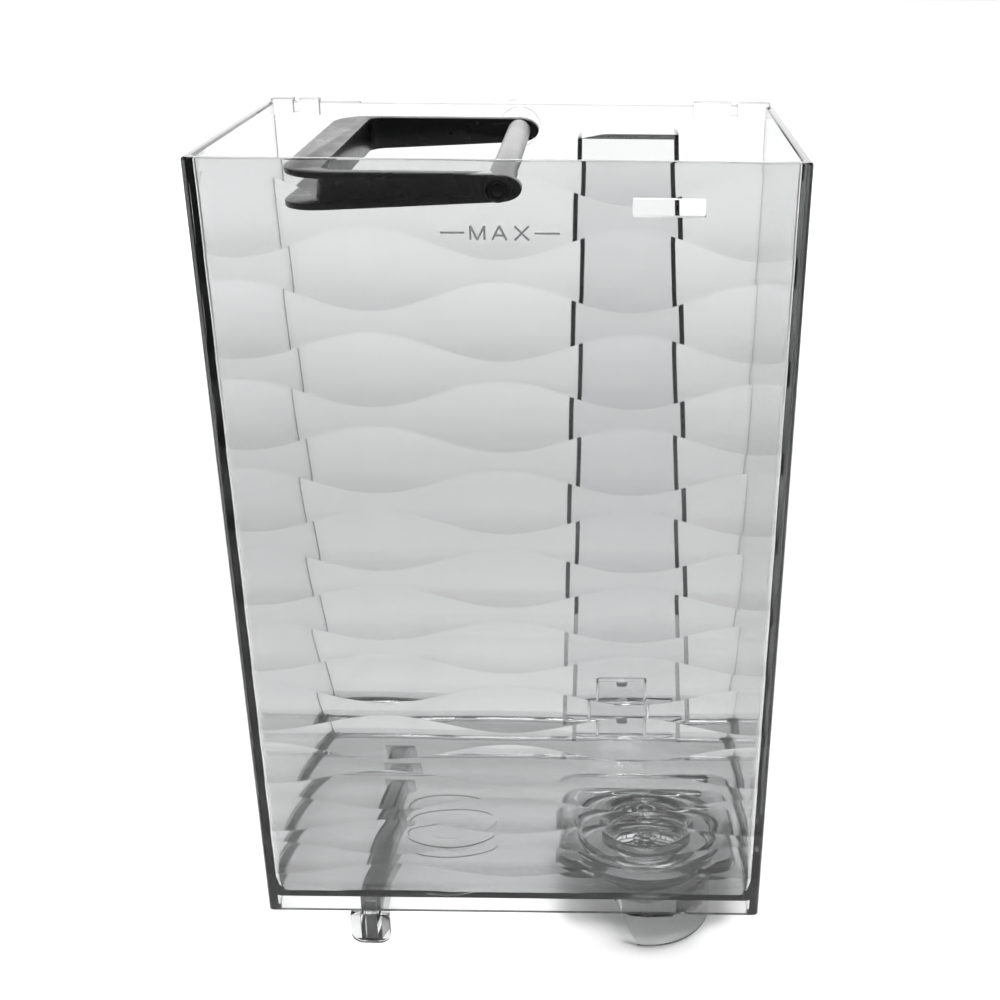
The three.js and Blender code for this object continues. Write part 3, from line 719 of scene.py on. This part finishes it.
def chute_rib_piece(name, slab_low, slab_high, bevel, material):
    ribs = chute_piece(name, slab_low, slab_high)
    combine(ribs, chute_core(CHUTE_WALL), "DIFFERENCE")
    finish_piece(ribs, "float_chute", bevel, material)


# The chute is split by height into pieces that carry painted shade, darkest at the top edge and lighter on
# the low ribs.
chute_face = fine_copy("float_chute", "chute_face")
combine(chute_face, chute_core(CHUTE_WALL + 0.03), "INTERSECT")
finish_piece(chute_face, "float_chute", 0.1, "chute_face")
chute_bar_z = CHUTE_HIGH.z - CHUTE_WALL
chute_rib_piece("chute_ribs", CHUTE_FADE_Z + CHUTE_SEAM, chute_bar_z - CHUTE_SEAM, 0.2, "chute_edges_painted_shade")
chute_top = chute_piece("chute_top_edge_painted_shade", chute_bar_z + CHUTE_SEAM, CHUTE_HIGH.z + REACH)
finish_piece(chute_top, "float_chute", 0.1, "chute_top_edge_painted_shade")
chute_rib_piece("chute_low_ribs", CHUTE_LOW.z - REACH, CHUTE_FADE_Z - CHUTE_SEAM, 0.0, "chute_low_edges_painted_shade")

# ---- floor, light and camera ---------------------------------------------------------------------------


def studio_floor():
    radius = 7.0
    drop = 0.0002
    segments = 96
    angles = [2 * math.pi * i / segments for i in range(segments)]
    ring = [(radius * math.cos(a), radius * math.sin(a), -drop) for a in angles]
    floor = new_object("studio_floor", ring, [tuple(range(segments))])
    n = Nodes("pale_floor")
    patches = n.remap(n.noise(3.0), 0, 1)
    n.tint(patches, (0.86, 0.86, 0.86), (0.88, 0.88, 0.88), n.shader.inputs["Base Color"])
    n.shader.inputs["Roughness"].default_value = 0.9
    n.shader.inputs["Specular IOR Level"].default_value = 0.0
    floor.data.materials.append(n.material)


def softbox(name, y, z, width, depth, watts, spread):
    """A large lamp facing straight down, on the middle line of the part."""
    data = bpy.data.lights.new(name, "AREA")
    data.shape = "RECTANGLE"
    data.size = width
    data.size_y = depth
    data.energy = watts
    data.spread = math.radians(spread)
    lamp = bpy.data.objects.new(name, data)
    lamp.location = (0, y, z)
    bpy.context.scene.collection.objects.link(lamp)


def studio_light():
    """Soft boxes over the part and behind it, a bright backdrop low at the rear, little light elsewhere."""
    world = bpy.data.worlds.new("studio")
    bpy.context.scene.world = world
    world.use_nodes = True
    tree = world.node_tree
    coords = tree.nodes.new("ShaderNodeTexCoord")
    split = tree.nodes.new("ShaderNodeSeparateXYZ")
    tree.links.new(coords.outputs["Generated"], split.inputs[0])

    def ramp(source, from_low, from_high, low, high):
        node = tree.nodes.new("ShaderNodeMapRange")
        node.interpolation_type = "SMOOTHSTEP"
        limits = {"From Min": from_low, "From Max": from_high, "To Min": low, "To Max": high}
        for key, value in limits.items():
            node.inputs[key].default_value = value
        tree.links.new(source, node.inputs["Value"])
        return node.outputs["Result"]

    def maths(operation, a, b):
        node = tree.nodes.new("ShaderNodeMath")
        node.operation = operation
        for socket, value in zip(node.inputs, (a, b)):
            if isinstance(value, float):
                socket.default_value = value
            else:
                tree.links.new(value, socket)
        return node.outputs[0]

    back = ramp(split.outputs["Y"], 0.3, 0.7, 0.0, 1.8)
    low = ramp(split.outputs["Z"], 0.26, 0.5, 1.0, 0.0)
    backdrop = maths("MULTIPLY", back, low)
    background = tree.nodes["Background"]
    tree.links.new(maths("ADD", backdrop, 0.1), background.inputs["Strength"])
    background.inputs["Color"].default_value = (1, 1, 1, 1)
    softbox("top_softbox", y=-0.12, z=1.1, width=1.3, depth=0.52, watts=1.4, spread=30)
    softbox("rear_softbox", y=2.0, z=1.4, width=3.6, depth=3.6, watts=64.0, spread=80)


FOCAL, SENSOR, SHIFT_X = 49.93, 36.0, -0.101
PITCH, YAW, ROLL = (math.radians(a) for a in (24.11, -0.19, 0.52))
CAMERA_PLACE = Vector((26.46, -377.63, 297.1)) * MM


def add_camera():
    """The camera looks down at the fluted front from a little right of the middle."""
    level = math.cos(PITCH)
    forward = Vector((math.sin(YAW) * level, math.cos(YAW) * level, -math.sin(PITCH)))
    right = Vector((math.cos(YAW), -math.sin(YAW), 0))
    up = right.cross(forward)
    right_rolled = math.cos(ROLL) * right + math.sin(ROLL) * up
    up_rolled = math.cos(ROLL) * up - math.sin(ROLL) * right
    data = bpy.data.cameras.new("camera")
    data.lens = FOCAL
    data.sensor_width = SENSOR
    data.shift_x = SHIFT_X
    data.clip_start = 0.01
    camera = bpy.data.objects.new("camera", data)
    bpy.context.scene.collection.objects.link(camera)
    rotation = Matrix((right_rolled, up_rolled, -forward)).transposed().to_4x4()
    camera.matrix_world = Matrix.Translation(CAMERA_PLACE) @ rotation
    bpy.context.scene.camera = camera


studio_floor()
studio_light()
add_camera()
bpy.context.scene.view_settings.view_transform = "Standard"
